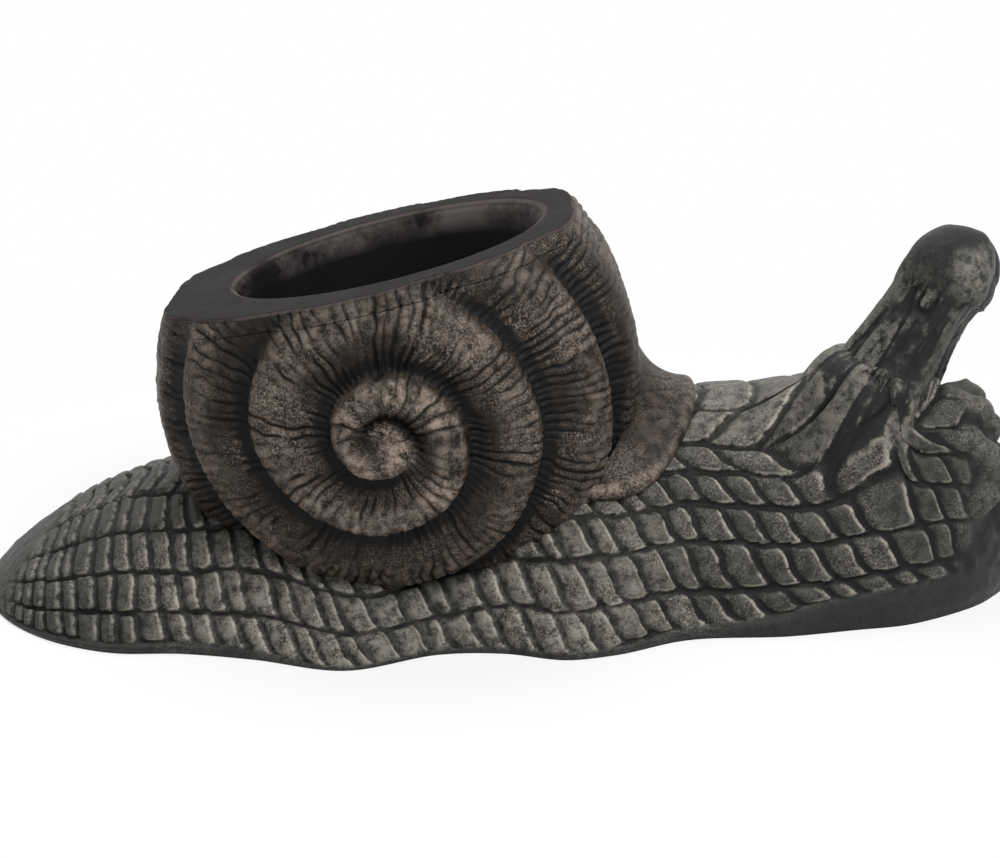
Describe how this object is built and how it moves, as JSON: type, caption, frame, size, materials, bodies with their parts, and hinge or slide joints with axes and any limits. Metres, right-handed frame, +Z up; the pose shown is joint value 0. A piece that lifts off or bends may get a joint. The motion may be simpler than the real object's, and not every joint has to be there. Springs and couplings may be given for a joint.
{
  "type": "snail planter",
  "caption": "Floor planter in the form of a crawling snail: a hollow body, a coiled shell as the pot, a lift-out planting bowl with a slanted rim, a drain and plugged-in eye stalks.",
  "frame": {"origin": "on the ground, at the middle of the planter's length and width", "axes": "+X towards the snail's head, +Y towards its left side, +Z up"},
  "size_m": [0.598, 0.2638, 0.2221],
  "materials": {
    "body_plastic": "dark plastic, painted and brushed to look like old bronze, satin",
    "shell_plastic": "dark plastic, painted and brushed in warm bronze, satin",
    "bowl_plastic": "smooth dark plastic, satin",
    "plug_rubber": "matte black rubber",
    "tube_plastic": "black moulded plastic",
    "screw_steel": "zinc-plated steel",
    "insert_brass": "turned brass"
  },
  "bodies": {
    "pot": {"snail_body": "body_plastic", "coiled_shell": "shell_plastic", "drain_tube": "tube_plastic", "shell_screws": "screw_steel", "screw_inserts": "insert_brass", "eye_stalk_right": "body_plastic", "eye_stalk_left": "body_plastic"},
    "bowl": {"planting_bowl": "bowl_plastic"},
    "plug": {"drain_plug": "plug_rubber"}
  },
  "joints": [
    {"name": "bowl_lift", "type": "slide", "parent": "pot", "child": "bowl", "axis": [0, 0, 1], "range_m": [0, 0.19]},
    {"name": "plug_pull", "type": "slide", "parent": "bowl", "child": "plug", "axis": [0, 0, 1], "range_m": [0, 0.03]}
  ]
}
